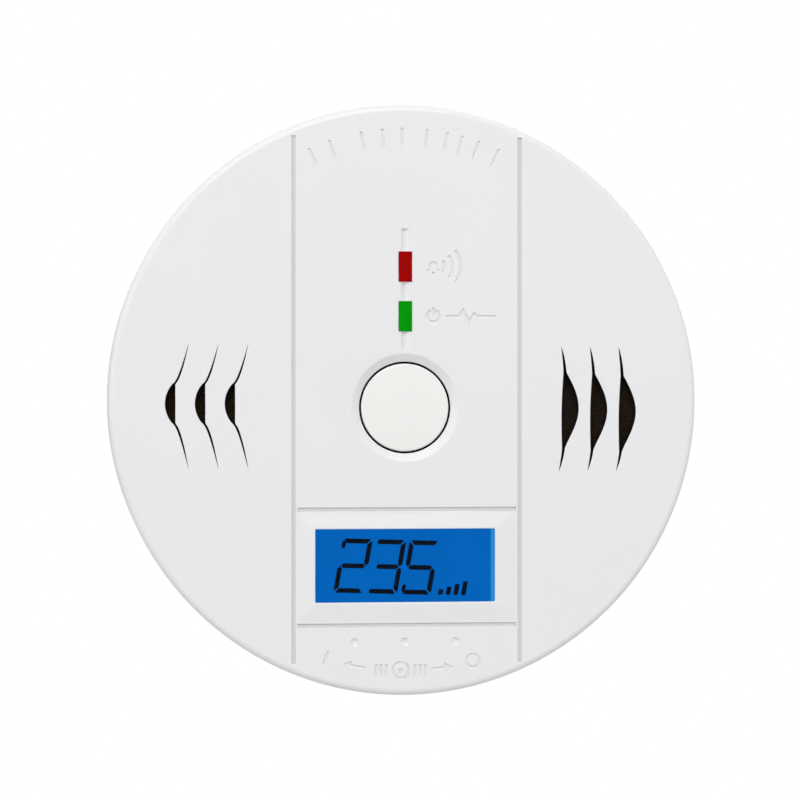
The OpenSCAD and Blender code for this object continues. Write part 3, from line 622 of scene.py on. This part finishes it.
def mark_loops():
    """Outlines of the engraved signs, and of the islands that stand inside them."""
    def upright(half, x=0):
        return bar(MARK_W, [(x, -half), (x, half)])

    marks = [on_arc(upright(1.4), *TOP_ARC, degrees) for degrees in TICKS]

    # A bell with its clapper and three sound waves
    upper, lower = LIGHTS
    bell = [(0.72, -0.5), (0.72, 0.2)] + arc_line(0.72, 10, 170, 0, 0.2) + [(-0.72, 0.2), (-0.72, -0.5)]
    bell += [(-1.15, -0.5), (-1.15, -0.8), (1.15, -0.8), (1.15, -0.5)]
    marks += [moved(counter_clockwise(bell), SIGN_X, upper), circle(SIGN_X, upper - 1.15, 0.26, 16)]
    for r in (1.6, 3.0, 4.4):
        marks.append(bar(MARK_W, arc_line(r, -40, 40, WAVE_X, upper), False))

    # A power sign with a pulse line
    thin = MARK_W * 0.85
    pulse = [(0, 0), (2.2, 0), (3.0, 1.1), (4.0, -1.1), (4.8, 0.5), (5.3, 0), (8.4, 0)]
    marks.append(bar(MARK_W, arc_line(1.05, 115, 425, SIGN_X, lower, 24), False))
    marks.append(bar(thin, [(SIGN_X, lower + 0.35), (SIGN_X, lower + 1.35)]))
    marks.append(bar(thin, moved(pulse, PULSE_X, lower)))

    # A stroke, two arrows, a ribbed grip sign round a ring with a dot, and a plain ring
    shaft, barb, neck, tip = 0.225, 0.75, 0.85, 2.15
    arrow = [(-1.6, -shaft), (neck, -shaft), (neck, -barb), (tip, 0), (neck, barb), (neck, shaft),
             (-1.6, shaft)]
    marks.append(on_arc(upright(1.1), *LOWER_ARC, STROKE))
    marks.append(on_arc(moved(arrow, 0, 0, 180), *LOWER_ARC, LEFT_ARROW))
    marks.append(on_arc(arrow, *LOWER_ARC, RIGHT_ARROW))
    marks += [on_arc(upright(0.9, k * (2.5 + 0.9 * i)), *LOWER_ARC, GRIP)
              for k in (-1, 1) for i in range(3)]
    islands = []
    for degrees, r, dot in ((GRIP, 1.35, 0.4), (RING, 1.1, 0)):
        marks.append(on_arc(circle(0, 0, r + MARK_W / 2, 40), *LOWER_ARC, degrees))
        islands.append(on_arc(circle(0, 0, r - MARK_W / 2, 40), *LOWER_ARC, degrees)[::-1])
        if dot:
            marks.append(on_arc(circle(0, 0, dot, 20), *LOWER_ARC, degrees))
    return marks, islands


def side_r(z):
    """The radius of the cover's drafted side at height z."""
    return BODY_R - (z - PART_Z) * DRAFT


def bezel_rise(s, blend=0.05):
    """How much of its height the bezel has at s, from 0 at its foot to 1 at its lip."""
    return (s * s / (2 * blend) if s < blend else s - blend / 2) / (1 - blend / 2)


def build_cover():
    m = Moulding()
    flat_r = side_r(FACE_Z - EDGE_R) - EDGE_R
    under_r = flat_r - 4
    outline = circle(0, 0, flat_r, 288)
    shell = filleted(
        [(flat_r - 0.01, FACE_Z), (side_r(FACE_Z), FACE_Z), (BODY_R, PART_Z), (BODY_R - WALL, PART_Z),
         (side_r(UNDER_Z) - WALL, UNDER_Z), (under_r, UNDER_Z)],
        [EDGE_R - 0.02, 0.25, 0.15, 1.0], 10)
    shell[0] = (flat_r, FACE_Z)
    m.turned(shell, n=288)

    # The raised bezel, from its foot to its lip, and the rebate that the window sits in
    lip = 0.15
    rings = []
    for s in (0, 0.015, 0.03, 0.05, 0.3, 0.5, 0.7, 0.9, 1):
        hw = BEZEL_HALF[0] + (WINDOW_HALF[0] + lip - BEZEL_HALF[0]) * s
        hh = BEZEL_HALF[1] + (WINDOW_HALF[1] + lip - BEZEL_HALF[1]) * s
        cx, cy = BEZEL_AT[0] * (1 - s), BEZEL_AT[1] + (WINDOW_Y - BEZEL_AT[1]) * s
        rings.append((rounded_rect(cx, cy, hw, hh, 0.5), FACE_Z + BEZEL_RISE * bezel_rise(s)))
    top, seat = FACE_Z + BEZEL_RISE, FACE_Z + BEZEL_RISE - WINDOW_SINK
    for grow, z in ((0.08, top - 0.01), (0.03, top - 0.05), (0, top - 0.12),
                    (0, seat), (0.9, seat), (0.9, UNDER_Z)):
        hw, hh = WINDOW_HALF[0] + grow, WINDOW_HALF[1] + grow
        rings.append((rounded_rect(0, WINDOW_Y, hw, hh, 0.25 + grow / 3), z))
    m.rings([at_height(loop, z) for loop, z in rings])
    bezel_foot, window_rim = rings[0][0], rings[-1][0]

    # The dish round the button
    dish_edge, collar_r = DISH_R + 0.5, BORE_R + COLLAR_OUT
    cone = filleted([(dish_edge, FACE_Z), (DISH_R, FACE_Z), (BORE_R, FACE_Z - DISH_DEPTH),
                     (BORE_R, COLLAR_Z), (collar_r, COLLAR_Z), (collar_r, UNDER_Z)],
                    [0.5, 0.06, 0.1, 0.2], 6)
    m.turned(cone, 0, BUTTON_Y, 160)
    dish_rim = circle(0, BUTTON_Y, dish_edge, 160)
    collar_rim = circle(0, BUTTON_Y, collar_r, 160)

    # The shallow channel, from the dish past both lights to its own end
    half_w, half_h = LIGHT_HALF
    gap, square_end, sloped_end = 0.1, 0.08, 0.3
    beside_lights = [y + k * (half_h + gap) for y in sorted(LIGHTS) for k in (-1, 1)]
    ends = [BUTTON_Y + dish_edge] + beside_lights + [CHANNEL_TOP]
    channel = []
    for y0, y1 in zip(ends[::2], ends[1::2]):
        slope = sloped_end if y1 == CHANNEL_TOP else square_end
        rings = []
        for t in (0, 0.06, 0.15, 0.3, 0.5, 0.7, 0.85, 0.96):
            low, high = y0 + square_end * t, y1 - slope * t
            loop = rounded_rect(CHANNEL_LEAN * t, (low + high) / 2,
                                CHANNEL_HALF * (1 - t), (high - low) / 2, 0.12 * (1 - t))
            rings.append(at_height(loop, FACE_Z - CHANNEL_DEPTH * math.sin(math.pi / 2 * t)))
        m.rings(rings)
        m.put(rings[-1], [list(range(len(rings[-1])))], True)
        channel.append([p[:2] for p in rings[0]])

    # Vents, openings for the lights, grooves and signs
    vents = [moved(left_slit(), LEFT_VENT[0] - LEFT_STEP * i, LEFT_VENT[1]) for i in range(3)]
    vents += [moved(right_slit(BELL_DROP * i), RIGHT_VENT[0] + RIGHT_STEP * i, RIGHT_VENT[1])
              for i in range(3)]
    vents = [counter_clockwise(vent) for vent in vents]
    lights = [rounded_rect(0, y, half_w, half_h, 0.12) for y in LIGHTS]
    grooves = [rounded_rect(STRIP_X + k * STRIP_HALF, 0, GROOVE_W / 2, GROOVE_HALF, 0.08) for k in (-1, 1)]
    half = STRIP_HALF - GROOVE_W / 2 - CROSS_GAP
    grooves += [rounded_rect(STRIP_X, y, half, GROOVE_W / 2, 0.08) for y in CROSS_GROOVES]
    marks, islands = mark_loops()
    face_loops = [outline, bezel_foot, dish_rim] + channel
    # The vents' walls take the near-black painted-shade material, in place of the shade that falls inside
    # them.
    for loops, edge, z_end, slot in ((vents, 0.08, UNDER_Z, VENT_SHADE_SLOT),
                                     (lights, 0.06, UNDER_Z, WHITE_SLOT),
                                     (grooves, 0.06, FACE_Z - GROOVE_DEPTH, WHITE_SLOT),
                                     (marks + islands, 0.06, FACE_Z - MARK_DEPTH, WHITE_SLOT)):
        for loop in loops:
            m.hole(loop, edge, FACE_Z, z_end, slot)
            face_loops.append(grown(loop, edge))

    # Three dimples under the display
    for cx in (-DIMPLE_X, 0, DIMPLE_X):
        rings = []
        for k in (1, 0.92, 0.8, 0.6, 0.4, 0.2):
            depth = DIMPLE_DEPTH * (1 - k * k) ** 0.5
            rings.append(at_height(circle(cx, DIMPLE_Y, DIMPLE_R * k, 32), FACE_Z - depth))
        m.rings(rings)
        m.put(rings[-1], [list(range(32))], True)
        face_loops.append(circle(cx, DIMPLE_Y, DIMPLE_R, 32))

    # The flat faces between them
    def odd(count):
        return count % 2 == 1

    m.sheet(FACE_Z, face_loops, odd)
    # The groove floors take the darker grey, which is painted shade in the recesses.
    m.slot = GROOVE_SHADE_SLOT
    m.sheet(FACE_Z - GROOVE_DEPTH, grooves, odd)
    m.slot = WHITE_SLOT
    m.sheet(FACE_Z - MARK_DEPTH, marks + islands, odd)
    under_loops = [circle(0, 0, under_r, 288), window_rim, collar_rim] + vents + lights
    m.sheet(UNDER_Z, under_loops, lambda count: count == 1)

    # Tubes for the housing screws
    corners = [(TUBE_R, UNDER_Z), (TUBE_R, TUBE_END), (PILOT_R, TUBE_END), (PILOT_R, PILOT_END),
               (0.02, PILOT_TIP)]
    tube = filleted(corners, [0.3, 0.2, 0.1], 4)
    for y in (SCREW_Y, -SCREW_Y):
        for x in (SCREW_X, -SCREW_X):
            m.turned(tube, x, y, 40)
    return m.piece("cover_moulding", (cover_white, groove_painted_shade, vent_painted_shade), "detector")


cover = build_cover()
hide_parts("front_cover")


# ---- Test button ----

BUTTON_TOP, BUTTON_R, BUTTON_SKIN, BUTTON_WALL = 35.2, 7.61, 1.5, 1.25
FLANGE_Z, FLANGE_T, FLANGE_OUT = 30.3, 1.1, 1.25
PIN_R, PIN_END = 1.6, 31.6


def build_button():
    """A cap with a flange that keeps it in the cover, and a pin that meets the switch."""
    m = Moulding()
    inner_r, flange_r = BUTTON_R - BUTTON_WALL, BUTTON_R + FLANGE_OUT
    foot, ceiling = FLANGE_Z - FLANGE_T, BUTTON_TOP - BUTTON_SKIN
    corners = [(0.02, BUTTON_TOP), (BUTTON_R, BUTTON_TOP), (BUTTON_R, FLANGE_Z), (flange_r, FLANGE_Z),
               (flange_r, foot), (inner_r, foot), (inner_r, ceiling), (PIN_R, ceiling), (PIN_R, PIN_END),
               (0.02, PIN_END)]
    profile = filleted(corners, [0.35, 0.2, 0.15, 0.15, 0.15, 0.4, 0.3, 0.15], 8)
    m.turned(profile, 0, BUTTON_Y, 160)
    return m.piece("button_cap", (MATERIALS["test_button"],), "button")


cap = build_button()
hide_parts("test_button")


# ---- Display segments ----

def prism(outline, y_front, y_back):
    """Vertices and faces of a flat prism. outline is counter-clockwise (x, z) seen from the front."""
    n = len(outline)
    verts = [(x, y_front, z) for x, z in outline] + [(x, y_back, z) for x, z in outline]
    faces = [list(range(n)), list(range(2 * n - 1, n - 1, -1))]
    for i in range(n):
        j = (i + 1) % n
        faces.append([i, i + n, j + n, j])
    return verts, faces


# The bars of each digit, those with a free left end, and the end of its short stub: 1 up, -1 down
SEGMENTS = {2: "abged", 3: "abgcd", 5: "afgcd"}
FREE_LEFT = {2: "", 3: "agd", 5: ""}
STUBS = {2: (1,), 3: (), 5: (-1,)}
DIGIT_W, DIGIT_H, BAR = 5.3 * MM, 9.45 * MM, 0.82 * MM
SLANT = math.tan(math.radians(8.3))
ROW_TILT = math.radians(-1.8)
GAP = 0.1 * MM
STUB_L, STUB_W = 1.35 * MM, 0.7 * MM


def segment_outlines(digit):
    """Mitred bars of an upright digit, centred on (0, 0), with round or pointed free ends."""
    w, h, t = DIGIT_W / 2, DIGIT_H / 2, BAR
    level = [(-w + t / 2 + GAP, 0), (-w + t + GAP, -t / 2), (w - t - GAP, -t / 2),
             (w - t / 2 - GAP, 0), (w - t - GAP, t / 2), (-w + t + GAP, t / 2)]
    cap = [(-w + 0.3 * t + GAP, -h + 0.12 * t), (-w + 0.5 * t + GAP, -h), (w - 0.5 * t - GAP, -h),
           (w - 0.3 * t - GAP, -h + 0.12 * t), (w - t - GAP, -h + t), (-w + t + GAP, -h + t)]
    side = [(w - t, t / 2 + GAP), (w - t / 2, GAP), (w, t / 2 + GAP), (w, h - 0.45 * t - GAP),
            (w - 0.12 * t, h - 0.3 * t - GAP), (w - t, h - t - GAP)]

    def mirrored(shape, sx, sy):
        return counter_clockwise([(sx * x, sy * y) for x, y in shape])

    made = {"a": mirrored(cap, 1, -1), "g": level, "d": cap, "b": side,
            "f": mirrored(side, -1, 1), "c": mirrored(side, 1, -1), "e": mirrored(side, -1, -1)}
    for key, z in (("a", h - t / 2), ("g", 0), ("d", -h + t / 2)):
        if key in FREE_LEFT[digit]:
            x0, x1 = -w + (1.55 if key == "g" else 0.85) * t, w - t - GAP
            tip = w - (t / 2 if key == "g" else 0.4 * t) - GAP
            made[key] = [p for p in bar(t, [(x0, z), (x1, z)]) if p[0] < x1 - 0.01 * t]
            if key == "g":
                made[key] += [(x1, z - t / 2), (tip, z), (x1, z + t / 2)]
            else:
                up = 1 if key == "a" else -1
                made[key] += [(x1, z - up * t / 2), (tip, z + up * t / 2)]
            made[key].sort(key=lambda p: math.atan2(p[1] - z, p[0]))
    outlines = [made[k] for k in SEGMENTS[digit]]
    for up in STUBS[digit]:
        x, z = -w + t / 2, up * (h - 0.75 * t - GAP)
        outlines.append(bar(STUB_W, [(x, z), (x, z - up * (STUB_L - STUB_W))]))
    return outlines


def place(outline, cx, cz):
    """Slants an outline, tilts it with the row and moves it to its place on the display."""
    out = []
    for x, z in outline:
        px, pz = cx + x + z * SLANT, cz + z
        dx, dz = px - ROW_X, pz - ROW_Z
        out.append((ROW_X + dx * math.cos(ROW_TILT) - dz * math.sin(ROW_TILT),
                    ROW_Z + dx * math.sin(ROW_TILT) + dz * math.cos(ROW_TILT)))
    return out


GLASS_X = (GLASS_LO.x + GLASS_HI.x) / 2
GLASS_Z = (GLASS_LO.z + GLASS_HI.z) / 2
ROW_X, ROW_Z = GLASS_X - 3.0 * MM, GLASS_Z - 0.35 * MM
DIGIT_PITCH = 5.88 * MM
INK_FRONT = GLASS_LO.y - 0.05 * MM
LEVELS, LEVEL_X, LEVEL_PITCH, LEVEL_HALF, LEVEL_FOOT = 4, 10.2, 1.35, 0.4, 0.1
LEVEL_LOW, LEVEL_STEP = 0.9, 0.5


def ink_piece(name, outlines):
    """Flat prisms of ink on the glass, as one piece."""
    verts, faces = [], []
    for outline in outlines:
        v, f = prism(outline, INK_FRONT, GLASS_LO.y)
        faces += [[i + len(verts) for i in face] for face in f]
        verts += v
    mesh = bpy.data.meshes.new(name)
    mesh.from_pydata(verts, [], faces)
    mesh.update()
    mesh.materials.append(ink)
    piece = bpy.data.objects.new(name, mesh)
    bpy.context.scene.collection.objects.link(piece)
    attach(piece, "detector")


for index, digit in enumerate((2, 3, 5)):
    centre = ROW_X + (index - 1) * DIGIT_PITCH
    bars = [place(outline, centre, ROW_Z) for outline in segment_outlines(digit)]
    ink_piece(f"display_digit_{index + 1}", bars)

level_bars = []
for i in range(LEVELS):
    centre, tall = ROW_X + (LEVEL_X + LEVEL_PITCH * i) * MM, (LEVEL_LOW + LEVEL_STEP * i) * MM
    wide, low = LEVEL_HALF * MM, -DIGIT_H / 2 + LEVEL_FOOT * MM
    outline = [(-wide, low), (wide, low), (wide, low + tall), (-wide, low + tall)]
    level_bars.append(place(outline, centre, ROW_Z))
ink_piece("display_level_bars", level_bars)


# ---- Camera, lights and floor ----

FACE = Vector((0, COVER_LO.y, 0))
YAW, LENS, SENSOR = math.radians(-6.0), 117.0, 36
FRAME_WIDE = 0.1383
DISTANCE = FRAME_WIDE * LENS / SENSOR
AIM = FACE + Vector((-0.00100, 0, 0))
back = Vector((math.sin(YAW), -math.cos(YAW), 0))
camera = bpy.data.objects.new("camera", bpy.data.cameras.new("camera"))
camera.data.lens = LENS
camera.data.sensor_width = SENSOR
camera.data.clip_start, camera.data.clip_end = 0.01, 100
camera.location = AIM + back * DISTANCE
camera.rotation_euler = (-back).to_track_quat("-Z", "Y").to_euler()
bpy.context.scene.collection.objects.link(camera)
bpy.context.scene.camera = camera


def area_light(name, at, aim, size, power):
    data = bpy.data.lights.new(name, "AREA")
    data.shape, data.size, data.size_y = "RECTANGLE", size[0], size[1]
    data.energy = power
    lamp = bpy.data.objects.new(name, data)
    lamp.location = at
    lamp.rotation_euler = (Vector(aim) - Vector(at)).to_track_quat("-Z", "Y").to_euler()
    lamp.visible_camera = False
    bpy.context.scene.collection.objects.link(lamp)


# Name, place, point aimed at, width and height in metres, and watts
for lamp_values in (("left_light", (-1.4, -0.8, 0.2), (0, 0, 0), (0.7, 0.9), 3.9),
                    ("right_light", (1.4, -0.8, 0.2), (0, 0, 0), (0.7, 0.9), 3.1),
                    ("top_light", (-0.3, -0.7, 2.0), (0, -0.2, 0), (1.6, 1.2), 3.2),
                    ("crown_light", (-0.2, -1.1, 0.95), (0, 0, 0), (0.8, 0.5), 8.5),
                    ("back_light", (0.9, 1.5, 0.9), (0, 0, 0), (1.2, 1.2), 12.0)):
    area_light(*lamp_values)

# The world is white to the camera, and lights the part less than that
WORLD_LIGHT = 0.6
world = bpy.data.worlds.new("studio")
bpy.context.scene.world = world
world.use_nodes = True
tree = world.node_tree
sky = tree.nodes["Background"]
sky.inputs["Color"].default_value = (1, 1, 1, 1)
path = tree.nodes.new("ShaderNodeLightPath")
power = tree.nodes.new("ShaderNodeMapRange")
power.inputs["To Min"].default_value = WORLD_LIGHT
power.inputs["To Max"].default_value = 1.0
tree.links.new(path.outputs["Is Camera Ray"], power.inputs["Value"])
tree.links.new(power.outputs["Result"], sky.inputs["Strength"])
bpy.context.scene.view_settings.view_transform = "Standard"

FLOOR_GLOW, FLOOR_R, FLOOR_Z, FLOOR_SIDES = 0.48, 9, -1.6, 96
floor_mesh = bpy.data.meshes.new("floor")
floor_ring = at_height(circle(0, 0, FLOOR_R, FLOOR_SIDES), FLOOR_Z)
floor_mesh.from_pydata(floor_ring, [], [list(range(FLOOR_SIDES))])
floor = bpy.data.objects.new("floor", floor_mesh)
bpy.context.scene.collection.objects.link(floor)
floor_shader = Shader("floor_paper", (0.86, 0.86, 0.86), 0.8)
floor_shader.bump(floor_shader.noise(0.002, 3.0), 0.0001, 0.2)
seen = floor_shader.add("ShaderNodeLightPath")
floor_shader.bsdf.inputs["Emission Color"].default_value = (1, 1, 1, 1)
floor_shader.link(floor_shader.span(seen.outputs["Is Camera Ray"], 0, FLOOR_GLOW),
                  floor_shader.bsdf.inputs["Emission Strength"])
floor_mesh.materials.append(floor_shader.done())
